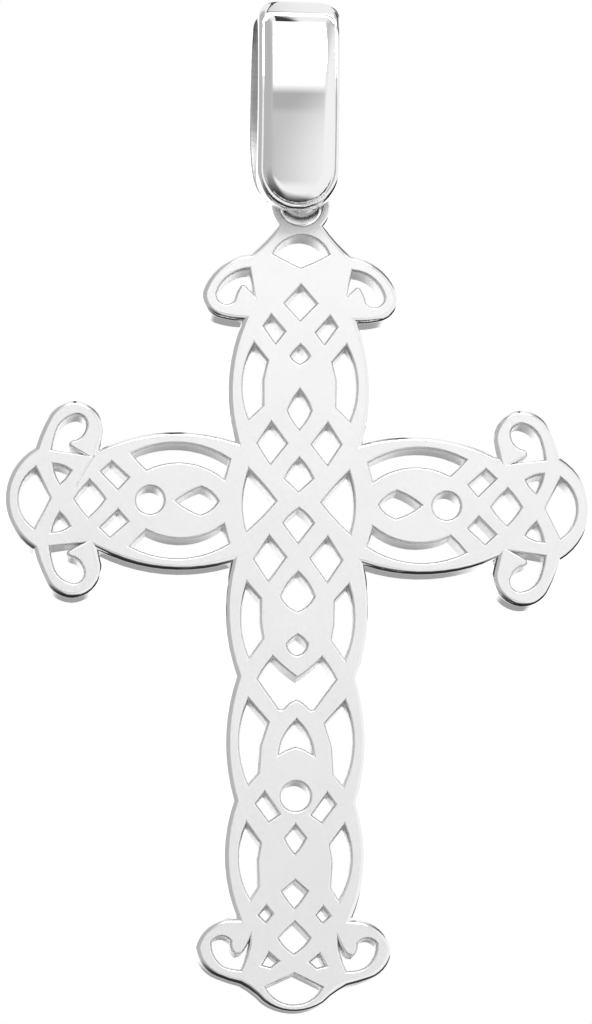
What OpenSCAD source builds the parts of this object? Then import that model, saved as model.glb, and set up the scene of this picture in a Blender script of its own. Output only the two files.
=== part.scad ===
// Cross pendant: a flat cross pierced with traditional interlace, hung from a domed strap bail.
// Millimetres. The origin is the chain seat at the inside top of the bail. The front faces -Y.

/* [Cross plate] */
// Thickness of the plate
plate_t = 1.6; // [1:0.1:2.2]
// Height of the chain seat above the crossing
seat_height = 22.27; // [20:0.01:24]
// Half width of the eye ring
eye_outer_r = 1.36; // [1.1:0.02:1.6]
// Half width of the eye hole
eye_hole_r = 0.95; // [0.7:0.01:1.1]
// Height of the middle of the eye above the crossing
eye_height = 13.56; // [12.5:0.01:14]
// Height of the flat top of the eye hole over its middle
eye_flat = 0.35; // [0.1:0.01:0.6]
// Height of the top of the ring over its middle
eye_crown = 1; // [0.7:0.05:1.4]
// Width of the line cut into the left arm
line_w = 0.07; // [0.02:0.01:0.2]
// Depth of the line cut into the left arm
line_depth = 0.05; // [0.02:0.01:0.2]

/* [Bail] */
// Half width of the front of the strap
bail_half_w = 1.84; // [1.4:0.01:2.2]
// Half width of the back of the strap, at its widest
back_half_w = 1.95; // [1.4:0.01:2.2]
// Height of the middle of the lower turn above the crossing
turn_height = 14.8; // [14:0.01:15.5]
// Inner radius of the lower turn
turn_inner_r = 1.3; // [1.1:0.01:1.6]
// Thickness of the strap at the lower turn
turn_t = 0.7; // [0.4:0.01:0.9]
// Half width of the lower turn
turn_half_w = 0.85; // [0.5:0.01:0.87]
// Distance of the lower turn and the plate on it to the right of the strap's middle
hang_side = 0.25; // [0:0.01:0.3]
// Half angle of the lower turn
turn_half_angle = 62; // [50:1:80]
// Height of the bottom tip of the front above the crossing
lip_height = 12.92; // [12.5:0.01:13.5]
// Distance of the bottom tip of the front from the plate middle
lip_out = 2.15; // [1.9:0.01:2.6]
// Width of the rim round the domed panel
rim_w = 0.22; // [0.1:0.01:0.4]
// Height of the panel over the rim, at its middle
panel_rise = 0.16; // [0.05:0.01:0.4]
// Depth of the groove between the rim and the panel
groove_depth = 0.05; // [0.02:0.01:0.15]
// Width of that groove
groove_w = 0.06; // [0.02:0.01:0.12]
// Radius of the upper corners
corner_r = 1.4; // [0.6:0.05:1.6]
// Radius of the upper corners of the panel
panel_corner_r = 0.5; // [0.2:0.05:1.1]

/* [Hidden] */
$fn = 72;
// The straight steps of an arc stand off it by no more than this
arc_error = 0.006;
// and turn by no more than this angle each
arc_step = 14;
// Facets of the large rounds
fine = 180;
// Length that passes right through one side of the bail
reach = 12;
// Overlap where two shapes of one piece join
seam = 0.01;

// Points of a closed outline, clockwise. Each row is x, height, bow. The bow is how far the side
// that starts there stands out, over its length. A negative bow curves inward.
function side_points(a, b, bow) =
    let (
        chord = [b[0] - a[0], b[1] - a[1]],
        len = norm(chord),
        along = chord / len,
        out = [-along[1], along[0]],
        turn = 4 * atan(2 * bow),
        steps = max(ceil(sqrt(abs(bow) * len / arc_error)), ceil(abs(turn) / arc_step)),
        r = bow == 0 ? 0 : len / (2 * sin(turn / 2)),
        mid = [a[0] + b[0], a[1] + b[1]] / 2
    )
    bow == 0
        ? [[a[0], a[1]]]
        : [
            for (i = [0 : steps - 1])
                let (f = -turn / 2 + turn * i / steps)
                mid + along * r * sin(f) + out * r * (cos(f) - cos(turn / 2))
        ];

function bowed(rows) = [
    for (i = [0 : len(rows) - 1])
        each side_points(rows[i], rows[(i + 1) % len(rows)], rows[i][2])
];

module bowed_shape(rows) {
    polygon(bowed(rows));
}

module both_sides() {
    children();
    mirror([1, 0]) children();
}

module above_and_below() {
    children();
    mirror([0, 1]) children();
}

module stand_up(thickness) {
    rotate([90, 0, 0])
        linear_extrude(height = thickness, center = true) children();
}

// The right half of the outline, from the eye down. Columns: x, height, bow.
head_outline = [
    [eye_outer_r, eye_height, 0.0913],
    [1.02, 12.61, -0.03],
    [2.25, 11.26, 0.15],
    [4.38, 9.47, 0.2],
    [3.49, 8.31, 0.03],
    [2.59, 8.2, 0.083]
];
// Upper half of an arm. The last bow reaches across the end to its lower half.
arm_outline = [
    [2.86, 2.77, 0.095],
    [8.78, 2.29, 0],
    [8.62, 2.95, 0.207],
    [9.9, 4.42, 0.126],
    [11.05, 3.8, 0.03],
    [11.66, 2.29, 0.28]
];
// Waists of the upright below the arms. The bow is that of the lobe below.
upright_waists = [
    [2.95, -2.72, 0.075],
    [2.65, -7.77, 0.077],
    [2.71, -13.24, 0.092]
];
// The last bow reaches across the bottom to the left half
foot_outline = [
    [2.53, -18.35, 0.18],
    [4.29, -19.61, 0.15],
    [3.33, -20.9, 0.02],
    [2.32, -21.21, -0.04],
    [1.3, -21.97, 0.154]
];

// Kites on the centre line. Columns: height of the side corners, half width, up, down,
// bow of the upper sides, bow of the lower sides.
centre_kites = [
    [9.02, 0.67, 0.78, 0.72, 0, 0],
    [6.63, 0.38, 0.46, 0.32, 0.05, 0.08],
    [4.17, 0.48, 0.88, 0.79, 0.05, 0.05],
    [1.11, 0.58, 0.85, 0.54, 0.05, 0],
    [-0.9, 0.62, 0.61, 0.82, 0.06, 0],
    [-4.18, 0.69, 1.03, 0.63, 0.07, 0.1],
    [-6.28, 0.41, 0.36, 0.48, 0.06, 0.18],
    [-14.84, 0.41, 0.52, 0.63, 0, 0.04],
    [-17.16, 0.51, 0.43, 0.69, 0, 0.03],
    [-19.19, 0.64, 0.65, 0.64, 0.02, 0.06]
];

// Four-cornered holes in pairs beside the centre line.
// Columns: x and height of the top, outer, bottom and inner corners, in that order.
side_kites = [
    [1.31, 8.4, 1.59, 7.97, 1.09, 7.25, 0.73, 7.72],
    [1.25, 3.55, 1.81, 2.66, 1.26, 1.8, 0.6, 2.66],
    [1.29, -1.57, 1.89, -2.53, 1.3, -3.44, 0.59, -2.45],
    [1.37, -12.91, 1.7, -13.35, 1.15, -14.08, 0.75, -13.8],
    [1.24, -17.87, 1.51, -18.21, 1.24, -18.46, 1, -18.16],
    [1.09, -19.91, 1.34, -20.36, 1.02, -20.44, 0.73, -20.21]
];
// Four-cornered holes in pairs above and below the middle of an arm. Same columns.
arm_kites = [
    [8.29, 1.63, 8.7, 1.25, 7.98, 0.52, 7.57, 0.98]
];

// Tall windows beside the centre line. Columns: x and height of the top, the shoulder,
// the upper waist, the lower waist and the bottom, then the bow of the outer side.
windows = [
    [2.05, 7.1, 1.48, 6.38, 1.68, 5.55, 1.67, 4.35, 2.23, 3.79, 0.111],
    [2.23, -3.68, 1.67, -4.33, 1.67, -5.36, 1.55, -6.07, 2.1, -6.87, 0.087],
    [2.11, -8.83, 1.28, -9.78, 1.61, -10.8, 1.68, -12, 2.07, -12.46, 0.104],
    [2.13, -14.29, 1.55, -15.1, 1.68, -15.84, 1.62, -16.97, 1.93, -17.47, 0.12]
];

// Single shapes. Columns: x, height, bow.
crossing_triangle = [
    [2.2, 1.39, 0.076],
    [2.27, -1.25, 0.02],
    [1.05, 0.06, 0.02]
];
top_fan = [
    [-1.2, 11.3, 0.34],
    [1.2, 11.3, 0.02],
    [0, 10.69, 0.02]
];
bottom_fan = [
    [0, -20.77, 0],
    [1.19, -21.33, 0.3],
    [-1.19, -21.33, 0]
];
chevron = [
    [1.08, -6.92, 0.03],
    [1.68, -7.85, 0],
    [0.76, -9.13, 0.2],
    [0.58, -9.13, -0.08],
    [0, -8.72, -0.08],
    [-0.58, -9.13, 0.2],
    [-0.76, -9.13, 0],
    [-1.68, -7.85, 0.03],
    [-1.08, -6.92, -0.03],
    [0, -7.82, -0.03]
];
arch = [
    [0, -9.69, 0.09],
    [0.73, -11.13, -0.05],
    [0, -10.8, -0.05],
    [-0.73, -11.13, 0.09]
];
top_curl = [
    [2.32, 10.53, 0.16],
    [3.72, 9.41, 0.36],
    [2.96, 9.11, -0.05],
    [2.7, 9.75, -0.3],
    [2.41, 9.76, -0.04],
    [2.07, 9.38, 0]
];
bottom_curl = [
    [1.89, -19.13, -0.05],
    [2.13, -19.7, -0.15],
    [2.56, -19.96, -0.15],
    [2.79, -19.38, 0.25],
    [3.57, -19.41, 0.13],
    [3.05, -20.42, 0.06],
    [2.32, -20.57, 0.04]
];
arm_window = [
    [3.11, 1.87, 0.135],
    [7.36, 2.07, 0.02],
    [6.72, 1.39, -0.147],
    [3.32, 1.08, 0]
];
arm_kite = [
    [3.6, 0, 0.1],
    [4.33, 0.59, 0.05],
    [5.38, 0, 0.05],
    [4.33, -0.58, 0.1]
];
arm_diamond = [
    [9.26, 0.78, 0.03],
    [9.85, 0, 0.03],
    [9.26, -0.77, 0.03],
    [8.59, 0, 0.03]
];
arm_small_triangle = [
    [10.12, 1.23, 0.08],
    [10.82, 1.48, 0.05],
    [10.53, 0.71, 0.05]
];
arm_fan = [
    [11.64, 1.31, 0.26],
    [11.64, -1.31, 0],
    [11, 0, 0]
];
arm_curl = [
    [9.4, 1.94, -0.04],
    [10.06, 2.27, -0.22],
    [10.16, 2.53, -0.1],
    [9.86, 2.67, 0.12],
    [9.45, 3.18, 0.3],
    [9.97, 3.73, 0.14],
    [10.73, 2.98, 0.02],
    [10.9, 2.2, 0]
];
// Line across the left arm, from its notch down to the diamond
arm_line = [
    [-8.74, 2.36, -0.03],
    [-9.78, 0.62, 0]
];

round_hole_height = -13.01;
round_hole_r = 0.62;
arm_round_x = 6.56;
arm_round_r = 0.59;

// The same side walked the other way, flipped across x or across height
function walked_back(rows, flip_x, flip_z) = [
    for (i = [len(rows) - 1 : -1 : 0])
        [rows[i][0] * flip_x, rows[i][1] * flip_z, i > 0 ? rows[i - 1][2] : 0]
];

function all_but_last(rows) = [for (i = [0 : len(rows) - 2]) rows[i]];

module outline() {
    right = concat(
        head_outline,
        arm_outline,
        all_but_last(walked_back(arm_outline, 1, -1)),
        upright_waists,
        foot_outline
    );
    left = all_but_last(walked_back(right, -1, 1));
    crown = [-eye_outer_r, eye_height, eye_crown / (2 * eye_outer_r)];
    bowed_shape(concat(right, left, [crown]));
}

module eye_hole() {
    intersection() {
        translate([0, eye_height]) circle(eye_hole_r);
        translate([-eye_hole_r, eye_height - eye_hole_r])
            square([2 * eye_hole_r, eye_hole_r + eye_flat]);
    }
}

module four_corners(row) {
    bowed_shape([for (i = [0 : 3]) [row[2 * i], row[2 * i + 1], 0]]);
}

module centre_holes() {
    for (k = centre_kites)
        bowed_shape([
            [0, k[0] + k[2], k[4]],
            [k[1], k[0], k[5]],
            [0, k[0] - k[3], k[5]],
            [-k[1], k[0], k[4]]
        ]);
    bowed_shape(top_fan);
    bowed_shape(chevron);
    bowed_shape(arch);
    bowed_shape(bottom_fan);
    translate([0, round_hole_height]) circle(round_hole_r);
}

module window_hole(w) {
    bowed_shape([
        [w[0], w[1], w[10]],
        [w[8], w[9], 0],
        [w[6], w[7], 0],
        [w[4], w[5], 0],
        [w[2], w[3], 0]
    ]);
}

module side_holes() {
    for (k = side_kites)
        four_corners(k);
    for (w = windows)
        window_hole(w);
    bowed_shape(crossing_triangle);
    bowed_shape(top_curl);
    bowed_shape(bottom_curl);
}

module arm_holes() {
    bowed_shape(arm_kite);
    bowed_shape(arm_diamond);
    bowed_shape(arm_fan);
    translate([arm_round_x, 0]) circle(arm_round_r);
    above_and_below() {
        bowed_shape(arm_window);
        bowed_shape(arm_small_triangle);
        bowed_shape(arm_curl);
        for (k = arm_kites)
            four_corners(k);
    }
}

// A thin ribbon that follows the line, as wide as line_w
module arm_line_shape() {
    points = concat(
        side_points(arm_line[0], arm_line[1], arm_line[0][2]),
        [[arm_line[1][0], arm_line[1][1]]]
    );
    half = [line_w / 2, 0];
    polygon(concat(
        [for (p = points) p - half],
        [for (i = [len(points) - 1 : -1 : 0]) points[i] + half]
    ));
}

module cross_plate() {
    color([0.91, 0.91, 0.92])
    translate([hang_side, 0, -seat_height])
    difference() {
        stand_up(plate_t)
            difference() {
                outline();
                eye_hole();
                centre_holes();
                both_sides() {
                    side_holes();
                    arm_holes();
                }
            }
        translate([0, -plate_t / 2, 0])
            stand_up(2 * line_depth) arm_line_shape();
    }
}

turn_outer_r = turn_inner_r + turn_t;
turn_side = sin(turn_half_angle);
turn_drop = cos(turn_half_angle);
// Angle by which the lower turn runs on into the strap
turn_overlap = 3;
strap_top = 22.97;
shoulder_height = 21.94;
shoulder_out = 2.15;
crown_height = 22.79;
crown_out = 1.2;
spring_height = 21.29;
spring_out = 1.65;
lip_inner_out = 1.66;
lip_rise = 0.08;

// The strap seen from its side, without its lower turn: from the bottom tip of the front up over
// the top and down the back, then back along its inner side.
// Columns: distance from the plate, height, bow.
strap_side = [
    [-lip_out, lip_height, 0.104],
    [-shoulder_out, shoulder_height, 0.11],
    [-crown_out, crown_height, 0.0735],
    [crown_out, crown_height, 0.11],
    [shoulder_out, shoulder_height, 0.137],
    [turn_outer_r * turn_side, turn_height - turn_outer_r * turn_drop, 0],
    [turn_inner_r * turn_side, turn_height - turn_inner_r * turn_drop, -0.145],
    [spring_out, spring_height, -(seat_height - spring_height) / (2 * spring_out)],
    [-spring_out, spring_height, -0.145],
    [-turn_inner_r * turn_side, turn_height - turn_inner_r * turn_drop, 0],
    [-lip_inner_out, lip_height + lip_rise, 0]
];

// Right half of the lower turn's cross-section. Columns: distance out from its inner radius,
// half width, bow.
turn_section = [
    [0, turn_half_w - 0.06, 0],
    [0.06, turn_half_w, 0.118],
    [0.48, 0.62, 0.08],
    [turn_t, 0, 0.08]
];

// Heights of the neck that joins the back to the lower turn
neck_foot = 13.74;
neck_top = 14.2;

// How the back draws in toward its neck and toward the top. Columns: half width, height.
back_taper = [
    [1.2, 14.28],
    [1.47, 14.5],
    [1.67, 14.85],
    [1.83, 15.5],
    [1.92, 16.5],
    [back_half_w, 17.6],
    [back_half_w, 19.3],
    [1.91, 20.5],
    [bail_half_w, 21.5]
];

// The front follows a large round about a level line behind the plate
front_span = shoulder_height - lip_height;
front_turn = 4 * atan(2 * strap_side[0][2]);
front_r = front_span / (2 * sin(front_turn / 2));
front_mid_height = lip_height + front_span / 2;
front_mid_out = front_r * cos(front_turn / 2) - (lip_out + shoulder_out) / 2;
panel_top = 22.16;
panel_inset = rim_w + groove_w;

// Lays a side outline, drawn as distance and height, across the full width
module across() {
    rotate([90, 0, 90])
        linear_extrude(height = 2 * max(bail_half_w, back_half_w), center = true) children();
}

// Carries a front view through one side of the loop
module through_front() {
    rotate([90, 0, 0])
        linear_extrude(height = reach) children();
}

module through_back() {
    translate([0, reach, 0]) through_front() children();
}

// The straight part of a front or back view, with its upper corners rounded
module rounded_top(inset, low, high, round_r) {
    half_w = bail_half_w - inset;
    corner_x = half_w - round_r;
    translate([-half_w, low]) square([2 * half_w, high - round_r - low]);
    translate([-corner_x, low]) square([2 * corner_x, high - low]);
    both_sides()
        translate([corner_x, high - round_r]) circle(round_r);
}

// Front view of the front, drawn in by inset, with its round lower end
module front_view(inset, high, round_r) {
    low = lip_height + bail_half_w;
    translate([0, low]) circle(bail_half_w - inset);
    rounded_top(inset, low, high, round_r);
}

module back_view() {
    last = len(back_taper) - 1;
    neck_right = hang_side + turn_half_w;
    neck_left = hang_side - turn_half_w;
    polygon(concat(
        [[neck_right, neck_foot], [neck_right, neck_top]],
        back_taper,
        [for (i = [last : -1 : 0]) [-back_taper[i][0], back_taper[i][1]]],
        [[neck_left, neck_top], [neck_left, neck_foot]]
    ));
    rounded_top(0, back_taper[last][1] - seam, strap_top, corner_r);
}

module strap() {
    intersection() {
        across() bowed_shape(strap_side);
        union() {
            through_front() front_view(0, strap_top, corner_r);
            through_back() back_view();
        }
    }
}

module lower_turn() {
    last = len(turn_section) - 1;
    left_half = [
        for (i = [last - 1 : -1 : 0])
            [turn_section[i][0], -turn_section[i][1], i > 0 ? turn_section[i - 1][2] : 0]
    ];
    translate([hang_side, 0, turn_height])
    rotate([0, 90, 0])
    rotate([0, 0, -turn_half_angle - turn_overlap])
    rotate_extrude(angle = 2 * (turn_half_angle + turn_overlap))
        translate([turn_inner_r, 0])
        bowed_shape(concat(turn_section, left_half));
}

// The domed panel, bowed from top to bottom like the front and also from side to side
module panel() {
    half_w = bail_half_w - panel_inset;
    dome_r = (half_w * half_w + panel_rise * panel_rise) / (2 * panel_rise);
    intersection() {
        translate([0, front_mid_out, front_mid_height])
        rotate([0, 90, 0])
        rotate([0, 0, -90 - front_turn / 2])
        rotate_extrude(angle = front_turn)
            intersection() {
                translate([front_r + panel_rise - dome_r, 0]) circle(dome_r, $fn = fine);
                translate([front_r - turn_t / 2, -bail_half_w])
                    square([turn_t, 2 * bail_half_w]);
            }
        through_front() front_view(panel_inset, panel_top - panel_inset, panel_corner_r);
    }
}

module panel_groove() {
    intersection() {
        through_front()
            difference() {
                front_view(rim_w, panel_top - rim_w, panel_corner_r + groove_w);
                front_view(panel_inset, panel_top - panel_inset, panel_corner_r);
            }
        across()
            translate([front_mid_out, front_mid_height])
            difference() {
                circle(front_r + turn_t, $fn = fine);
                circle(front_r - groove_depth, $fn = fine);
            }
    }
}

module bail() {
    color([0.94, 0.94, 0.95])
    translate([0, 0, -seat_height]) {
        difference() {
            strap();
            panel_groove();
        }
        panel();
        lower_turn();
    }
}

cross_plate();
bail();
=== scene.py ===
"""Silver cross pendant: a pierced interlaced plate with softened edges, hung from a polished bail."""

import math

import bpy
import numpy as np
from mathutils import Matrix, Vector
from mathutils.geometry import delaunay_2d_cdt
from mathutils.kdtree import KDTree


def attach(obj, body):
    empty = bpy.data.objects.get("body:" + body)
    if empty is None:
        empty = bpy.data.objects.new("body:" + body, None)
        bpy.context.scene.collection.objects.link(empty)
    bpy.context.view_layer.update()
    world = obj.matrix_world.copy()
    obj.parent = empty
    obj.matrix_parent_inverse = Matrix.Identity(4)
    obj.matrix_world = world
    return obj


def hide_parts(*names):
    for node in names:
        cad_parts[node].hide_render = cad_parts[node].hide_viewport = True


MM = 0.001
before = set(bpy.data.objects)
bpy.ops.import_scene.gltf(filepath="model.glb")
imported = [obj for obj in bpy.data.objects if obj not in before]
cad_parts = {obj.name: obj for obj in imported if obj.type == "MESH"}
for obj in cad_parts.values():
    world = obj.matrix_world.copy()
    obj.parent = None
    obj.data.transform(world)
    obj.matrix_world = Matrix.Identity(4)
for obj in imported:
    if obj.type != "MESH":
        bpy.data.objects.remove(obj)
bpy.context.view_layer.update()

# Sizes in mm, heights above the crossing of the cross
SEAT_HEIGHT = 22.27
HANG_SIDE = 0.25
PLATE_HALF_T = 0.8


def row_frame(x, y, height):
    """A point given from the crossing's height, in metres in the part's own frame."""
    return Vector((x, y, height - SEAT_HEIGHT)) * MM


# Materials

# Middle part of a noise value that is spread over a range
NOISE_LOW, NOISE_HIGH = 0.3, 0.7
# A polish is rougher and smoother than its own roughness by this share
POLISH_SPREAD = 0.2


def new_material(name):
    material = bpy.data.materials.new(name)
    material.use_nodes = True
    tree = material.node_tree
    tree.nodes.clear()
    out = tree.nodes.new("ShaderNodeOutputMaterial")
    shader = tree.nodes.new("ShaderNodeBsdfPrincipled")
    tree.links.new(shader.outputs["BSDF"], out.inputs["Surface"])
    return material, tree, shader


def noise(tree, scale, detail=3.0, roughness=0.5, stretch=(1, 1, 1)):
    """Noise in the object's own coordinates. scale is per metre."""
    coords = tree.nodes.new("ShaderNodeTexCoord")
    mapping = tree.nodes.new("ShaderNodeMapping")
    mapping.inputs["Scale"].default_value = stretch
    texture = tree.nodes.new("ShaderNodeTexNoise")
    texture.inputs["Scale"].default_value = scale
    texture.inputs["Detail"].default_value = detail
    texture.inputs["Roughness"].default_value = roughness
    tree.links.new(coords.outputs["Object"], mapping.inputs["Vector"])
    tree.links.new(mapping.outputs["Vector"], texture.inputs["Vector"])
    return texture.outputs["Fac"]


def spread(tree, value, low, high):
    """Maps the middle of a noise value to the range from low to high."""
    node = tree.nodes.new("ShaderNodeMapRange")
    node.inputs["From Min"].default_value = NOISE_LOW
    node.inputs["From Max"].default_value = NOISE_HIGH
    node.inputs["To Min"].default_value = low
    node.inputs["To Max"].default_value = high
    tree.links.new(value, node.inputs["Value"])
    return node.outputs["Result"]


def blend_colours(tree, value, first, second):
    node = tree.nodes.new("ShaderNodeMix")
    node.data_type = "RGBA"
    node.inputs["A"].default_value = (*first, 1)
    node.inputs["B"].default_value = (*second, 1)
    tree.links.new(value, node.inputs["Factor"])
    return node.outputs["Result"]


def add_bump(tree, shader, height, distance, strength):
    bump = tree.nodes.new("ShaderNodeBump")
    bump.inputs["Strength"].default_value = strength
    bump.inputs["Distance"].default_value = distance
    tree.links.new(height, bump.inputs["Height"])
    tree.links.new(bump.outputs["Normal"], shader.inputs["Normal"])


def satin_silver():
    """Fine satin of the flat faces: a faint cloudiness and a tight grain."""
    material, tree, shader = new_material("satin_silver")
    shader.inputs["Metallic"].default_value = 1.0
    cloud = noise(tree, scale=260, detail=2)
    grain = noise(tree, scale=22000, detail=3, stretch=(1, 1, 0.35))
    colour = blend_colours(tree, spread(tree, cloud, 0, 1), (0.93, 0.93, 0.935), (0.96, 0.96, 0.96))
    tree.links.new(colour, shader.inputs["Base Color"])
    tree.links.new(spread(tree, grain, low=0.38, high=0.5), shader.inputs["Roughness"])
    add_bump(tree, shader, grain, distance=0.003 * MM, strength=0.5)
    return material


def polished_silver(name, roughness, wave_scale, wave_height):
    """Bright polish with the slight waviness of a hand-finished surface. wave_height is in mm."""
    material, tree, shader = new_material(name)
    shader.inputs["Metallic"].default_value = 1.0
    waves = noise(tree, scale=wave_scale, detail=1)
    colour = blend_colours(tree, spread(tree, waves, 0, 1), (0.95, 0.95, 0.955), (0.97, 0.97, 0.97))
    tree.links.new(colour, shader.inputs["Base Color"])
    low, high = roughness * (1 - POLISH_SPREAD), roughness * (1 + POLISH_SPREAD)
    tree.links.new(spread(tree, waves, low, high), shader.inputs["Roughness"])
    add_bump(tree, shader, waves, distance=wave_height * MM, strength=0.3)
    return material


def sawn_silver():
    """Walls of the piercings, left a little rough by the saw, with fine strokes from front to back."""
    material, tree, shader = new_material("sawn_silver")
    shader.inputs["Metallic"].default_value = 1.0
    strokes = noise(tree, scale=9000, detail=2, stretch=(1, 0.12, 1))
    colour = blend_colours(tree, spread(tree, strokes, 0, 1), (0.93, 0.93, 0.935), (0.97, 0.97, 0.97))
    tree.links.new(colour, shader.inputs["Base Color"])
    tree.links.new(spread(tree, strokes, low=0.34, high=0.44), shader.inputs["Roughness"])
    add_bump(tree, shader, strokes, distance=0.004 * MM, strength=0.4)
    return material


def brushed_silver_painted_shade():
    """Inside of the strap, brushed across and left without a mirror polish; its colour is darkened as
    painted shade of the hollow.
    """
    material, tree, shader = new_material("brushed_silver_painted_shade")
    shader.inputs["Metallic"].default_value = 1.0
    strokes = noise(tree, scale=5000, detail=2, stretch=(0.08, 1, 1))
    # Painted shade: a darker base colour than the outer silver, for the shade inside the strap's hollow
    colour = blend_colours(tree, spread(tree, strokes, 0, 1), (0.66, 0.66, 0.665), (0.78, 0.78, 0.78))
    tree.links.new(colour, shader.inputs["Base Color"])
    tree.links.new(spread(tree, strokes, low=0.3, high=0.42), shader.inputs["Roughness"])
    add_bump(tree, shader, strokes, distance=0.003 * MM, strength=0.5)
    return material


# Meshes with their own corner normals


def new_skin():
    return {"points": [], "faces": [], "normals": [], "finish": []}


def add_point(skin, x, y, z):
    skin["points"].append((x, y, z))
    return len(skin["points"]) - 1


def add_face(skin, corners, normals, finish):
    skin["faces"].append(corners)
    skin["normals"] += normals
    skin["finish"].append(finish)


def new_piece(name, points, faces, materials):
    mesh = bpy.data.meshes.new(name)
    mesh.from_pydata(points, [], faces)
    for material in materials:
        mesh.materials.append(material)
    mesh.shade_smooth()
    piece = bpy.data.objects.new(name, mesh)
    bpy.context.scene.collection.objects.link(piece)
    return piece


# The cross plate

# The edges are filed to a quarter of an ellipse in front: how far it cuts into the face and how
# deep it goes, at the outer edge and at the piercings
OUTER_CUT = 0.22
OUTER_CUT_DEPTH = 0.3
PIERCED_CUT = 0.13
PIERCED_CUT_DEPTH = 0.28
CUT_STEPS = 7
CUT_STEP_GROWTH = 1.4
# Behind they have a small round
BACK_ROUND = 0.06
BACK_STEPS = 3
# The cut takes no more than this share of the metal between the edge and a piercing
CUT_SHARE = 0.35
# A corner of an edge is drawn in by at most this many times its cut
LONGEST_MITRE = 2.2
# A corner that turns by more than this stays sharp
SHARP_DEGREES = 35
# Points of an edge that are nearer to each other than this are joined
SHORTEST_STEP = 0.004
# The line cut across the left arm, from the crossing: ends, bow, width and depth
LINE_ENDS = ((-8.80, 2.24), (-9.78, 0.62))
LINE_BOW = -0.03
LINE_HALF_W = 0.045
LINE_END_HALF_W = 0.004
LINE_DEPTH = 0.05
LINE_STEPS = 8
# The line narrows over this share of its length at each end
LINE_TAPER = 0.25
# Finishes of the plate, in the order of its materials
FACE, OUTER_WALL, PIERCED_WALL = range(3)
# Points this close to a plane lie in it, in metres, and a point's place is rounded to these digits
FLAT_WITHIN = 1e-6
POINT_DIGITS = 7
# Keeps a division from zero where a side turns right back
LEAST_OPENING = 1e-3
# How a flat face is cut into triangles: only those within its edges, and this exact, in metres
TRIANGLES_WITHIN = 1
TRIANGLE_EPSILON = 1e-9


def face_loops(mesh, y):
    """Closed boundary loops of the mesh's flat face at that y, as (x, z), with the metal on the right."""
    edges = set()
    for polygon in mesh.polygons:
        corners = [mesh.vertices[i].co for i in polygon.vertices]
        if max(abs(c.y - y) for c in corners) > FLAT_WITHIN:
            continue
        keys = [(round(c.x, POINT_DIGITS), round(c.z, POINT_DIGITS)) for c in corners]
        for a, b in zip(keys, keys[1:] + keys[:1]):
            if (b, a) in edges:
                edges.remove((b, a))
            elif a != b:
                edges.add((a, b))
    following = dict(sorted(edges))
    loops = []
    while following:
        start = min(following)
        loop = [start]
        after = following.pop(start)
        while after != start:
            loop.append(after)
            after = following.pop(after)
        loops.append([Vector(p) for p in loop])
    return loops


def without_short_steps(loop):
    kept = [loop[0]]
    for point in loop[1:]:
        if (point - kept[-1]).length > SHORTEST_STEP * MM:
            kept.append(point)
    return kept


def loop_span(loop):
    return max(p.y for p in loop) - min(p.y for p in loop)


def side_normals(loop):
    """The direction away from the metal of the side that starts at each point."""
    sides = []
    for a, b in zip(loop, loop[1:] + loop[:1]):
        along = (b - a).normalized()
        sides.append(Vector((-along.y, along.x)))
    return sides


def mitres(sides):
    """For each point, the step into the metal that moves both its sides inward by 1."""
    steps = []
    for i, after in enumerate(sides):
        before = sides[i - 1]
        step = -(before + after) / max(1 + before.dot(after), LEAST_OPENING)
        if step.length > LONGEST_MITRE:
            step = step.normalized() * LONGEST_MITRE
        steps.append(step)
    return steps


def wall_normals(sides):
    """For each point, the wall's direction as the side before it and the side after it have it."""
    pairs = []
    for i, after in enumerate(sides):
        before = sides[i - 1]
        if before.dot(after) > math.cos(math.radians(SHARP_DEGREES)):
            before = after = (before + after).normalized()
        pairs.append((before, after))
    return pairs


def metal_tree(loops):
    """Finds the nearest point of any of the loops."""
    tree = KDTree(sum(len(loop) for loop in loops))
    for i, point in enumerate(p for loop in loops for p in loop):
        tree.insert((point.x, point.y, 0), i)
    tree.balance()
    return tree


def outer_cuts(loop, pierced):
    """Cut into the face at each point of the outer edge, less where the metal is narrow."""
    tree = metal_tree(pierced)
    cuts = []
    for point in loop:
        gap = tree.find((point.x, point.y, 0))[2]
        cuts.append(min(OUTER_CUT * MM, CUT_SHARE * gap))
    return cuts


def edge_rows(cut, depth):
    """Rows down the edge from the front face to the back: inset, y, share of the wall's direction
    in the normal, and y of the normal."""
    half = PLATE_HALF_T * MM
    rows = []
    for i in range(CUT_STEPS + 1):
        turn = math.pi / 2 * (i / CUT_STEPS) ** CUT_STEP_GROWTH
        outward, forward = depth * math.sin(turn), cut * math.cos(turn)
        size = math.hypot(outward, forward)
        y = depth * (1 - math.cos(turn)) - half
        rows.append((cut * (1 - math.sin(turn)), y, outward / size, -forward / size))
    back_round = BACK_ROUND * MM
    for i in range(BACK_STEPS + 1):
        turn = math.pi / 2 * i / BACK_STEPS
        y = half - back_round * (1 - math.sin(turn))
        rows.append((back_round * (1 - math.cos(turn)), y, math.cos(turn), math.sin(turn)))
    return rows


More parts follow.
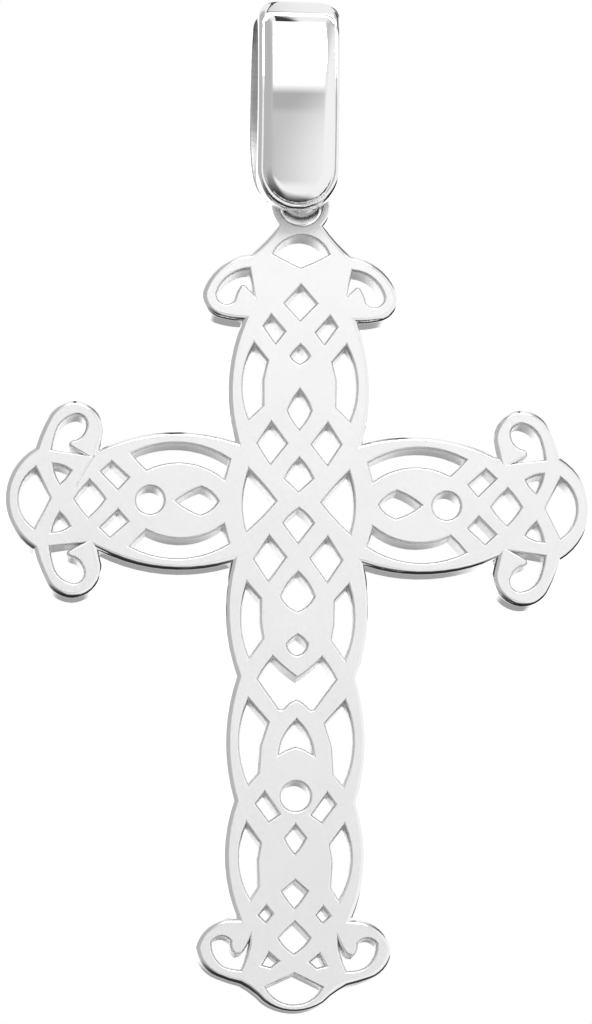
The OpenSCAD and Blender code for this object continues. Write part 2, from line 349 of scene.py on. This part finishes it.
def add_edge(skin, loop, cuts, depth, finish):
    """The edge along one loop. Returns its first and last rings of (x, z) and of points."""
    sides = side_normals(loop)
    steps, normals = mitres(sides), wall_normals(sides)
    columns = []
    for point, step, cut in zip(loop, steps, cuts):
        rows = edge_rows(cut, depth * MM)
        moved = [point + step * inset for inset, *_ in rows]
        ids = [add_point(skin, p.x, row[1], p.y) for p, row in zip(moved, rows)]
        columns.append((moved, ids, rows))
    count = len(loop)
    for i in range(count):
        j = (i + 1) % count
        near, far = normals[i][1], normals[j][0]
        (_, ids, rows), (_, next_ids, next_rows) = columns[i], columns[j]
        for k in range(len(ids) - 1):
            corners = (ids[k], next_ids[k], next_ids[k + 1], ids[k + 1])
            add_face(
                skin,
                corners,
                [
                    edge_normal(near, rows[k]),
                    edge_normal(far, next_rows[k]),
                    edge_normal(far, next_rows[k + 1]),
                    edge_normal(near, rows[k + 1]),
                ],
                finish,
            )
    first = ([c[0][0] for c in columns], [c[1][0] for c in columns])
    last = ([c[0][-1] for c in columns], [c[1][-1] for c in columns])
    return first, last


def edge_normal(wall, row):
    return (wall.x * row[2], row[3], wall.y * row[2])


def inside(points, loops):
    """True for each (x, z) that lies within an odd number of the loops."""
    x, y = np.array(points).T
    odd = np.zeros(len(points), bool)
    for loop in loops:
        for a, b in zip(loop, loop[1:] + loop[:1]):
            if a.y == b.y:
                continue
            level = (a.y > y) != (b.y > y)
            odd ^= level & (x < a.x + (y - a.y) * (b.x - a.x) / (b.y - a.y))
    return odd


def engraved_line():
    """The line's left side, middle and right side, each a list of (x, z) in metres."""
    a, b = (Vector(p) for p in LINE_ENDS)
    along = b - a
    across = Vector((-along.y, along.x)).normalized()
    sides = ([], [], [])
    for i in range(LINE_STEPS + 1):
        t = i / LINE_STEPS
        middle = a.lerp(b, t) + across * (4 * LINE_BOW * t * (1 - t) * along.length)
        half = LINE_HALF_W * min(1, t / LINE_TAPER, (1 - t) / LINE_TAPER) + LINE_END_HALF_W
        for side, offset in zip(sides, (-half, 0, half)):
            p = middle + across * offset
            side.append(Vector(((p.x + HANG_SIDE) * MM, (p.y - SEAT_HEIGHT) * MM)))
    return sides


def fill_face(skin, rings, y, facing, line=()):
    """Fills a flat face between its rings. facing is the y of its normal. line is cut into it."""
    spots, ids, edges = [], [], []
    for loop, ring in rings:
        first = len(spots)
        spots += loop
        ids += ring
        edges += [(first + i, first + (i + 1) % len(loop)) for i in range(len(loop))]
    for side, depth in zip(line, (0, LINE_DEPTH * MM, 0)):
        first = len(spots)
        spots += side
        ids += [add_point(skin, p.x, y + depth, p.y) for p in side]
        edges += [(first + i, first + i + 1) for i in range(len(side) - 1)]
    cut = delaunay_2d_cdt(spots, edges, [], TRIANGLES_WITHIN, TRIANGLE_EPSILON)
    placed, _, triangles, sources, _, _ = cut
    corners = [ids[s[0]] if s else add_point(skin, p.x, y, p.y) for p, s in zip(placed, sources)]
    middles = [sum((placed[i] for i in t), Vector((0, 0))) / 3 for t in triangles]
    within = inside([tuple(m) for m in middles], [loop for loop, _ in rings])
    for triangle, wanted in zip(triangles, within):
        if wanted:
            face = [corners[i] for i in triangle]
            add_flat_face(skin, face if facing < 0 else face[::-1], y, facing)


def add_flat_face(skin, corners, y, facing):
    """A triangle of a flat face, or of the line cut into it."""
    normal = Vector((0, facing, 0))
    a, b, c = (Vector(skin["points"][i]) for i in corners)
    if max(abs(p.y - y) for p in (a, b, c)) > FLAT_WITHIN:
        normal = (b - a).cross(c - a).normalized()
    add_face(skin, corners, [tuple(normal)] * 3, FACE)


def make_cross():
    loops = face_loops(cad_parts["cross_plate"].data, PLATE_HALF_T * MM)
    loops = sorted((without_short_steps(loop) for loop in loops), key=loop_span, reverse=True)
    outer, pierced = loops[0], loops[1:]
    skin = new_skin()
    edges = [add_edge(skin, outer, outer_cuts(outer, pierced), OUTER_CUT_DEPTH, OUTER_WALL)]
    for loop in pierced:
        cuts = [PIERCED_CUT * MM] * len(loop)
        edges.append(add_edge(skin, loop, cuts, PIERCED_CUT_DEPTH, PIERCED_WALL))
    half = PLATE_HALF_T * MM
    fill_face(skin, [first for first, _ in edges], -half, -1, engraved_line())
    fill_face(skin, [last for _, last in edges], half, 1)
    polish = polished_silver("polished_edge", roughness=0.1, wave_scale=900, wave_height=0.02)
    piece = new_piece("cross_silver", skin["points"], skin["faces"], [satin_silver(), polish, sawn_silver()])
    piece.data.polygons.foreach_set("material_index", skin["finish"])
    piece.data.normals_split_custom_set(skin["normals"])
    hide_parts("cross_plate")
    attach(piece, "cross")


# The bail

# Every bow below is how far a side's arc swells from its chord, as a share of the chord.
# Half width of the front, and points of the strap's side view: distance from the middle and height.
HALF_W = 1.84
LIP = (2.15, 12.92)
SHOULDER = (2.15, 21.94)
CROWN = (1.2, 22.79)
SPRING = (1.65, 21.29)
LIP_INNER = (1.66, 13.0)
STRAP_TOP = 22.97
# Upper corners in the front view
CORNER_R = 1.4
# The rounded views run on above the strap, so that they cut only its corners
FRONT_TOP = STRAP_TOP + 0.25
BACK_TOP = STRAP_TOP + 0.1
BACK_CORNER_R = 0.8
# The front's corners give way to the back's over this distance to each side of the middle
CORNER_CHANGE = 0.9
# The lower turn, round in the side view: its centre, inner radius, thickness, half width, half angle,
# the height where it ends inside the strap, and the small corner of its section
TURN_HEIGHT = 14.8
TURN_INNER_R = 1.3
TURN_T = 0.7
TURN_HALF_W = 0.85
TURN_HALF_ANGLE = 62
TURN_TOP = 14.45
TURN_CORNER = 0.06
# Bows of the strap's sides: front, shoulders, crown, back and hollow, and of round corners
FRONT_BOW = 0.104
SHOULDER_BOW = 0.11
CROWN_BOW = 0.0735
BACK_BOW = 0.137
INNER_BOW = 0.145
HALF_ROUND_BOW = 0.5
QUARTER_ROUND_BOW = math.tan(math.pi / 8) / 2
# How the back draws in toward the lower turn and toward the top: half width, height
BACK_TAPER = (
    (1.2, 14.28),
    (1.47, 14.5),
    (1.67, 14.85),
    (1.83, 15.5),
    (1.92, 16.5),
    (1.95, 17.6),
    (1.95, 19.3),
)
TAPER_STEPS = 6
# The narrow neck between the back and the lower turn
NECK_FOOT = 13.74
NECK_TOP = 14.2
# Right half of the lower turn's cross-section: distance out from its inner radius, half width, bow
TURN_SECTION = (
    (0, TURN_HALF_W - TURN_CORNER, 0),
    (TURN_CORNER, TURN_HALF_W, 0.118),
    (0.48, 0.62, 0.08),
    (TURN_T, 0, 0.08),
)
# The panel in the front: its inset from the strap's edge and the height of its top
PANEL_INSET = 0.28
PANEL_TOP = 21.88
PANEL_CORNER_R = 0.5
# Its edge rolls up over this width, the more steeply the higher the power, to this rise and crown
PANEL_ROLL = 0.5
PANEL_ROLL_POWER = 2.5
PANEL_EDGE_RISE = 0.1
PANEL_CROWN = 0.05
# The groove round it: depth, middle from the panel's edge and half width
GROOVE_DEPTH = 0.045
GROOVE_MID = 0.02
GROOVE_HALF = 0.09
# The rim slopes away from the panel by this much to its edge, less and less above this height
RIM_FALL = 0.06
RIM_FALL_TOP = 21.3
# Rounding of the outer edges, of the same over the top and where that begins and is full, of the
# inner edges, and of the corner between the strap and the lower turn
EDGE_ROUND = 0.2
TOP_ROUND = 0.4
TOP_ROUND_START = 20.8
TOP_ROUND_END = 22.4
INNER_ROUND = 0.08
FILLET = 0.06
# The brushed finish inside the strap, darkened as painted shade, reaches this far from the hollow's own
# surface
INSIDE_REACH = 0.03
# Grid that the surface is found on. Each row is where a stretch starts and its step.
GRID_X = ((-2.05, 0.045), (-1.3, 0.1), (1.3, 0.045), (2.05, 0))
GRID_Y = ((-3.35, 0.075), (3.25, 0))
GRID_HEIGHT = ((12.8, 0.045), (15.0, 0.12), (21.0, 0.06), (23.1, 0))
# How far below and beside the strap its construction outlines run on
RUN_ON = 1.0
# Rounds that move the grid's points onto the surface, the least squared slope that they divide by,
# and the small step that a slope is found with
PLACING_ROUNDS = 4
LEAST_SLOPE = 0.25
SLOPE_STEP = 1e-4
# Share of the distance beside a side that settles which of two equally near sides counts
TIE_SHARE = 1e-6
# A point this little past an arc's end still counts as beside the arc
ARC_END_SLACK = 1e-12


def turn_end(radius):
    angle = math.radians(TURN_HALF_ANGLE)
    return (radius * math.sin(angle), TURN_HEIGHT - radius * math.cos(angle))


def outer_side():
    """Outer side view of the strap, clockwise from the front's lower end. Rows are y, height, bow."""
    end = turn_end(TURN_INNER_R + TURN_T)
    floor = LIP[1] - RUN_ON
    return [
        (-LIP[0], LIP[1], FRONT_BOW),
        (-SHOULDER[0], SHOULDER[1], SHOULDER_BOW),
        (-CROWN[0], CROWN[1], CROWN_BOW),
        (CROWN[0], CROWN[1], SHOULDER_BOW),
        (SHOULDER[0], SHOULDER[1], BACK_BOW),
        (end[0], end[1], 0),
        (end[0], floor, 0),
        (-LIP[0], floor, 0),
    ]


def hollow_side():
    """Side view of the space inside the strap, open below, clockwise. Rows are y, height, bow."""
    inner, outer = turn_end(TURN_INNER_R), turn_end(TURN_INNER_R + TURN_T)
    out = (2 * outer[0] - inner[0], 2 * outer[1] - inner[1])
    lip_out = (2 * LIP[0] - LIP_INNER[0], 2 * LIP[1] - LIP_INNER[1])
    floor = LIP[1] - 2 * RUN_ON
    return [
        (-inner[0], inner[1], INNER_BOW),
        (-SPRING[0], SPRING[1], (SEAT_HEIGHT - SPRING[1]) / (2 * SPRING[0])),
        (SPRING[0], SPRING[1], INNER_BOW),
        (inner[0], inner[1], 0),
        (out[0], out[1], 0),
        (out[0], floor, 0),
        (-lip_out[0], floor, 0),
        (-lip_out[0], lip_out[1], 0),
        (-LIP_INNER[0], LIP_INNER[1], 0),
    ]


def front_view(inset, top, corner):
    """Front view of the front, drawn in by inset, clockwise. Rows are x, height, bow."""
    low = LIP[1] + HALF_W
    half = HALF_W - inset
    return [
        (-half, low, 0),
        (-half, top - corner, QUARTER_ROUND_BOW),
        (corner - half, top, 0),
        (half - corner, top, QUARTER_ROUND_BOW),
        (half, top - corner, 0),
        (half, low, HALF_ROUND_BOW),
    ]


def smooth_taper():
    """The back's half widths and heights, with more rows along a smooth curve through them."""
    rows = [np.array(row) for row in BACK_TAPER]
    ends = [2 * rows[0] - rows[1], *rows, 2 * rows[-1] - rows[-2]]
    curve = []
    for p0, p1, p2, p3 in zip(ends, ends[1:], ends[2:], ends[3:]):
        for i in range(TAPER_STEPS):
            t = i / TAPER_STEPS
            a = 2 * p1
            b = (p2 - p0) * t
            c = (2 * p0 - 5 * p1 + 4 * p2 - p3) * t * t
            d = (3 * p1 - p0 - 3 * p2 + p3) * t**3
            curve.append((a + b + c + d) / 2)
    return curve


def back_view():
    """Back view of the back, clockwise. Rows are x, height, bow."""
    taper = smooth_taper()
    neck_left, neck_right = HANG_SIDE - TURN_HALF_W, HANG_SIDE + TURN_HALF_W
    left = [(neck_left, NECK_FOOT, 0), (neck_left, NECK_TOP, 0)]
    left += [(-half, height, 0) for half, height in taper]
    right = [(half, height, 0) for half, height in reversed(taper)]
    right += [(neck_right, NECK_TOP, 0), (neck_right, NECK_FOOT, 0)]
    half = BACK_TAPER[-1][0]
    return left + front_view(HALF_W - half, BACK_TOP, BACK_CORNER_R)[1:5] + right


def turn_section():
    """Cross-section of the lower turn, clockwise. Rows are distance out, x, bow."""
    bows = [0] + [bow for _, _, bow in TURN_SECTION]
    left = [(out, HANG_SIDE - half, bow) for (out, half, _), bow in zip(TURN_SECTION[:-1], bows)]
    return [(out, HANG_SIDE + half, bow) for out, half, bow in TURN_SECTION] + left[::-1]


def side_distance(x, y, a, b, bow):
    """Plain and signed distance to one side of an outline. Its left is outside."""
    chord = math.hypot(b[0] - a[0], b[1] - a[1])
    along = ((b[0] - a[0]) / chord, (b[1] - a[1]) / chord)
    left = (-along[1], along[0])
    px, py = x - a[0], y - a[1]
    if bow == 0:
        t = np.clip(px * along[0] + py * along[1], 0, chord)
        plain = np.hypot(px - t * along[0], py - t * along[1])
        return plain, px * left[0] + py * left[1]
    half_turn = 2 * math.atan(2 * bow)
    radius = chord / 2 / math.sin(half_turn)
    back = radius * math.cos(half_turn)
    cx = px - along[0] * chord / 2 + left[0] * back
    cy = py - along[1] * chord / 2 + left[1] * back
    reach = np.hypot(cx, cy)
    within = (cx * left[0] + cy * left[1]) >= reach * math.cos(half_turn) - ARC_END_SLACK
    ends = np.minimum(np.hypot(px, py), np.hypot(x - b[0], y - b[1]))
    return np.where(within, np.abs(reach - radius), ends), reach - radius


def outline_distance(x, y, rows):
    """Signed distance to a closed clockwise outline of arcs, negative inside."""
    best, signed = np.inf, 0
    for a, b in zip(rows, rows[1:] + rows[:1]):
        plain, side = side_distance(x, y, a, b, a[2])
        score = plain - TIE_SHARE * np.abs(side)
        closer = score < best
        best = np.where(closer, score, best)
        signed = np.where(closer, np.copysign(plain, side), signed)
    return signed


def common(a, b, radius):
    """The part that two solids share, with the edge between them rounded."""
    corner = np.hypot(np.maximum(a + radius, 0), np.maximum(b + radius, 0))
    return np.minimum(np.maximum(a, b), -radius) + corner


def ease(value, start, end):
    share = np.clip((value - start) / (end - start), 0, 1)
    return share * share * (3 - 2 * share)


OUTER_SIDE = outer_side()
HOLLOW_SIDE = hollow_side()
FRONT_VIEW = front_view(0, FRONT_TOP, CORNER_R)
PANEL_VIEW = front_view(PANEL_INSET, PANEL_TOP, PANEL_CORNER_R)
BACK_VIEW = back_view()
TURN_VIEW = turn_section()


def panel_rise(x, height):
    """How far the domed panel stands out of the front, and the groove and the rim round it lie in."""
    from_edge = outline_distance(x, height, PANEL_VIEW)
    roll = 1 - (1 - np.clip(-from_edge / PANEL_ROLL, 0, 1)) ** PANEL_ROLL_POWER
    crown = PANEL_CROWN * (1 - (x / (HALF_W - PANEL_INSET)) ** 2)
    groove = np.clip(1 - ((from_edge - GROOVE_MID) / GROOVE_HALF) ** 2, 0, 1) ** 2
    fall = np.clip(from_edge / PANEL_INSET, 0, 1) * (1 - ease(height, RIM_FALL_TOP, PANEL_TOP))
    return (PANEL_EDGE_RISE + crown) * roll - GROOVE_DEPTH * groove - RIM_FALL * fall


def bail_field(x, y, height):
    """Negative inside the bail, zero on its surface, in mm."""
    backness = ease(y, -CORNER_CHANGE, CORNER_CHANGE)
    front, back = outline_distance(x, height, FRONT_VIEW), outline_distance(x, height, BACK_VIEW)
    view = front + (back - front) * backness
    outer = outline_distance(y, height, OUTER_SIDE) - np.where(y < 0, panel_rise(x, height), 0)
    rounding = EDGE_ROUND + (TOP_ROUND - EDGE_ROUND) * ease(height, TOP_ROUND_START, TOP_ROUND_END)
    strap = common(common(outer, view, rounding), -outline_distance(y, height, HOLLOW_SIDE), INNER_ROUND)
    ring = np.hypot(y, height - TURN_HEIGHT)
    turn = np.maximum(outline_distance(ring - TURN_INNER_R, x, TURN_VIEW), height - TURN_TOP)
    return -common(-strap, -turn, FILLET)


def graded(stretches):
    """Rising values from rows of a start and a step. The last row is the end."""
    values = []
    for (start, step), (end, _) in zip(stretches, stretches[1:]):
        values.append(np.linspace(start, end, round((end - start) / step), endpoint=False))
    return np.append(np.concatenate(values), stretches[-1][0])


def surface_net(field, axes):
    """Points and quads of the surface where the field on a grid is zero, with the quads facing out."""
    cells = tuple(n - 1 for n in field.shape)
    total, count = np.zeros((*cells, 3)), np.zeros(cells)
    crossings = []
    for axis in range(3):
        low = np.delete(field, -1, axis)
        high = np.delete(field, 0, axis)
        spot = np.argwhere((low < 0) != (high < 0))
        start, end = low[tuple(spot.T)], high[tuple(spot.T)]
        place = np.stack([axes[d][spot[:, d]] for d in range(3)], axis=-1)
        place[:, axis] += start / (start - end) * (axes[axis][spot[:, axis] + 1] - place[:, axis])
        u, v = np.eye(3, dtype=int)[(axis + 1) % 3], np.eye(3, dtype=int)[(axis + 2) % 3]
        round_edge = [spot - u - v, spot - v, spot, spot - u]
        for cell in round_edge:
            np.add.at(total, tuple(cell.T), place)
            np.add.at(count, tuple(cell.T), 1)
        crossings.append((round_edge, start < 0))
    used = count > 0
    ids = np.full(cells, -1)
    ids[used] = np.arange(used.sum())
    quads = []
    for round_edge, leaving in crossings:
        quad = np.stack([ids[tuple(cell.T)] for cell in round_edge], axis=-1)
        quad[~leaving] = quad[~leaving][:, ::-1]
        quads.append(quad)
    return total[used] / count[used][:, None], np.concatenate(quads)


def steepest(points):
    """The field's gradient at each point, by small differences."""
    parts = []
    for axis in range(3):
        shift = np.zeros(3)
        shift[axis] = SLOPE_STEP
        ahead, behind = bail_field(*(points + shift).T), bail_field(*(points - shift).T)
        parts.append((ahead - behind) / (2 * SLOPE_STEP))
    return np.stack(parts, axis=-1)


def make_bail():
    axes = [graded(rows) for rows in (GRID_X, GRID_Y, GRID_HEIGHT)]
    grid = bail_field(axes[0][:, None, None], axes[1][None, :, None], axes[2][None, None, :])
    points, quads = surface_net(grid, axes)
    for _ in range(PLACING_ROUNDS):
        slope = steepest(points)
        value = bail_field(*points.T)
        points -= slope * (value / np.maximum((slope**2).sum(1), LEAST_SLOPE))[:, None]
    normals = steepest(points)
    normals /= np.linalg.norm(normals, axis=1)[:, None]
    middles = points[quads].mean(axis=1)
    # Faces near the hollow take the brushed finish with its painted shade
    within = np.abs(outline_distance(middles[:, 1], middles[:, 2], HOLLOW_SIDE)) < INSIDE_REACH
    points[:, 2] -= SEAT_HEIGHT
    polish = polished_silver("polished_silver", roughness=0.04, wave_scale=300, wave_height=0.004)
    piece = new_piece("bail_silver", (points * MM).tolist(), quads.tolist(), [polish, brushed_silver_painted_shade()])
    piece.data.polygons.foreach_set("material_index", within.astype(int))
    piece.data.normals_split_custom_set_from_vertices(normals.tolist())
    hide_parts("bail")
    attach(piece, "hanger")


# The studio

# Brightness round the object in front, at the sides of that, and behind. Rows are degrees above
# the horizon and brightness.
FRONT_SKY = (
    (-80, 0.02),
    (-65, 0.15),
    (-50, 0.45),
    (-30, 0.95),
    (-22, 0.9),
    (-19, 0.56),
    (11, 0.56),
    (15, 0.44),
    (21, 0.44),
    (26, 1.2),
    (62, 1.2),
    (72, 0.9),
)
SIDE_SKY = (
    (-80, 0.02),
    (-50, 0.06),
    (-30, 0.25),
    (-12, 0.5),
    (62, 0.56),
    (80, 0.9),
)
BACK_SKY = (
    (-80, 0.02),
    (-48, 0.04),
    (-34, 0.2),
    (-24, 0.7),
    (-16, 1.1),
    (-10, 1.3),
    (12, 1.3),
    (30, 0.9),
    (88, 0.9),
)
# Soft cards round the object: azimuth, elevation, radius and softness in degrees, and brightness
CARDS = (
    (180, -10, 8, 6, 0.36),
    (58, -8, 45, 17, 0.92),
    (-75, 20, 42, 16, 0.48),
    (147, 38, 10, 4, 0.05),
    (108, 48, 12, 4, 0.05),
    (125, -33, 24, 8, 0.03),
    (-1, 72, 2.5, 1.5, 0.03),
)
# A dark beam over the object from front to back, and its two soft sides by the x of a direction
BEAM = (180, 68, 44, 4, 0.05)
BEAM_LEFT = (-0.06, -0.02)
BEAM_RIGHT = (0.03, 0.055)
# Soft sides of the light in front of the object, by the x of a direction
FRONT_LIGHT_SIDES = (0.13, 0.33)
# Where the front gives way to the back, by the y of a direction
FRONT_TO_BACK = (-0.1, 0.3)
# The floor, in metres
FLOOR_HALF = 6
FLOOR_DROP = 1.6
FLOOR_ROUGHNESS = 0.8


def grey(value):
    return (value, value, value, 1)


def elevation_ramp(tree, height, stops):
    """Brightness by elevation. Each stop is degrees above the horizon and brightness."""
    ramp = tree.nodes.new("ShaderNodeValToRGB")
    elements = ramp.color_ramp.elements
    while len(elements) < len(stops):
        elements.new(0.5)
    for element, (degrees, value) in zip(elements, stops):
        element.position = (math.sin(math.radians(degrees)) + 1) / 2
        element.color = grey(value)
    tree.links.new(height, ramp.inputs["Fac"])
    return ramp.outputs["Color"]


def map_range(tree, value, from_min, from_max, kind="SMOOTHSTEP"):
    node = tree.nodes.new("ShaderNodeMapRange")
    node.interpolation_type = kind
    node.inputs["From Min"].default_value = from_min
    node.inputs["From Max"].default_value = from_max
    tree.links.new(value, node.inputs["Value"])
    return node.outputs["Result"]


def mix(tree, factor, first, second):
    node = tree.nodes.new("ShaderNodeMix")
    node.data_type = "RGBA"
    tree.links.new(factor, node.inputs["Factor"])
    for name, colour in (("A", first), ("B", second)):
        if isinstance(colour, tuple):
            node.inputs[name].default_value = colour
        else:
            tree.links.new(colour, node.inputs[name])
    return node.outputs["Result"]


def direction(azimuth, elevation):
    """From the object outward. Azimuth 0 is in front of it and 90 on its right in the picture."""
    a, e = math.radians(azimuth), math.radians(elevation)
    return Vector((math.sin(a) * math.cos(e), -math.cos(a) * math.cos(e), math.sin(e)))


def card(tree, sky, towards, azimuth, elevation, radius, softness, value):
    """A soft round card of that brightness in front of the sky."""
    dot = tree.nodes.new("ShaderNodeVectorMath")
    dot.operation = "DOT_PRODUCT"
    dot.inputs[1].default_value = direction(azimuth, elevation)
    tree.links.new(towards, dot.inputs[0])
    edge = math.cos(math.radians(radius + softness))
    full = math.cos(math.radians(radius))
    return mix(tree, map_range(tree, dot.outputs["Value"], edge, full), sky, grey(value))


def make_world():
    world = bpy.data.worlds.new("studio")
    bpy.context.scene.world = world
    world.use_nodes = True
    tree = world.node_tree
    tree.nodes.clear()
    towards = tree.nodes.new("ShaderNodeTexCoord").outputs["Generated"]
    parts = tree.nodes.new("ShaderNodeSeparateXYZ")
    tree.links.new(towards, parts.inputs["Vector"])
    height = map_range(tree, parts.outputs["Z"], -1, 1, "LINEAR")
    sideways = parts.outputs["X"]
    front, side, back = (elevation_ramp(tree, height, stops) for stops in (FRONT_SKY, SIDE_SKY, BACK_SKY))
    off_middle = tree.nodes.new("ShaderNodeMath")
    off_middle.operation = "ABSOLUTE"
    tree.links.new(sideways, off_middle.inputs[0])
    front = mix(tree, map_range(tree, off_middle.outputs["Value"], *FRONT_LIGHT_SIDES), front, side)
    sky = mix(tree, map_range(tree, parts.outputs["Y"], *FRONT_TO_BACK), front, back)
    beam = card(tree, sky, towards, *BEAM)
    beam = mix(tree, map_range(tree, sideways, *BEAM_LEFT), sky, beam)
    sky = mix(tree, map_range(tree, sideways, *BEAM_RIGHT), beam, sky)
    for row in CARDS:
        sky = card(tree, sky, towards, *row)
    light_path = tree.nodes.new("ShaderNodeLightPath")
    seen = mix(tree, light_path.outputs["Is Camera Ray"], sky, grey(1.0))
    background = tree.nodes.new("ShaderNodeBackground")
    tree.links.new(seen, background.inputs["Color"])
    out = tree.nodes.new("ShaderNodeOutputWorld")
    tree.links.new(background.outputs["Background"], out.inputs["Surface"])


def facing(azimuth, elevation, roll=0.0):
    """Right, up and back directions of a thing that looks at the object from there."""
    back = direction(azimuth, elevation)
    right = Vector((0, 0, 1)).cross(back).normalized()
    up = back.cross(right)
    r = math.radians(roll)
    return right * math.cos(r) + up * math.sin(r), up * math.cos(r) - right * math.sin(r), back


def put(thing, directions, location):
    thing.rotation_mode = "QUATERNION"
    thing.rotation_quaternion = Matrix(directions).transposed().to_quaternion()
    thing.location = location
    bpy.context.scene.collection.objects.link(thing)


def area_light(name, azimuth, elevation, distance, size, power):
    light = bpy.data.lights.new(name, "AREA")
    light.shape = "DISK"
    light.size = size
    light.energy = power
    lamp = bpy.data.objects.new(name, light)
    directions = facing(azimuth, elevation)
    put(lamp, directions, row_frame(0, 0, 0) + directions[2] * distance)
    lamp.visible_camera = False


def make_floor():
    signs = ((-1, -1), (1, -1), (1, 1), (-1, 1))
    corners = [(x * FLOOR_HALF, y * FLOOR_HALF, -FLOOR_DROP) for x, y in signs]
    material, tree, shader = new_material("pale_floor")
    shader.inputs["Roughness"].default_value = FLOOR_ROUGHNESS
    cloud = noise(tree, scale=0.8)
    colour = blend_colours(tree, spread(tree, cloud, 0, 1), (0.88, 0.88, 0.88), (0.9, 0.9, 0.9))
    tree.links.new(colour, shader.inputs["Base Color"])
    floor = new_piece("floor", corners, [(0, 1, 2, 3)], [material])
    floor.visible_glossy = False
    floor.visible_diffuse = False


# The photograph's view
VIEW_AZIMUTH = -3.3
VIEW_ELEVATION = -10
VIEW_ROLL = 0.583
VIEW_DISTANCE = 0.2
MM_PER_PIXEL = 0.04415
IMAGE = (592, 1024)
CROSSING_PIXEL = (298.5, 502.9)
SENSOR = 36
CLIP = (0.01, 20)


def make_camera():
    data = bpy.data.cameras.new("camera")
    data.sensor_width = SENSOR
    data.lens = SENSOR * VIEW_DISTANCE / (IMAGE[1] * MM_PER_PIXEL * MM)
    data.clip_start, data.clip_end = CLIP
    camera = bpy.data.objects.new("camera", data)
    right, up, back = facing(VIEW_AZIMUTH, VIEW_ELEVATION, VIEW_ROLL)
    crossing = row_frame(HANG_SIDE, -PLATE_HALF_T, 0)
    dx = (CROSSING_PIXEL[0] - IMAGE[0] / 2) * MM_PER_PIXEL * MM
    dy = (IMAGE[1] / 2 - CROSSING_PIXEL[1]) * MM_PER_PIXEL * MM
    put(camera, (right, up, back), crossing + back * VIEW_DISTANCE - right * dx - up * dy)
    bpy.context.scene.camera = camera


def main():
    make_cross()
    make_bail()
    make_world()
    area_light("key", azimuth=5, elevation=45, distance=0.6, size=0.3, power=1.05)
    make_floor()
    make_camera()
    bpy.context.scene.view_settings.view_transform = "Standard"


main()
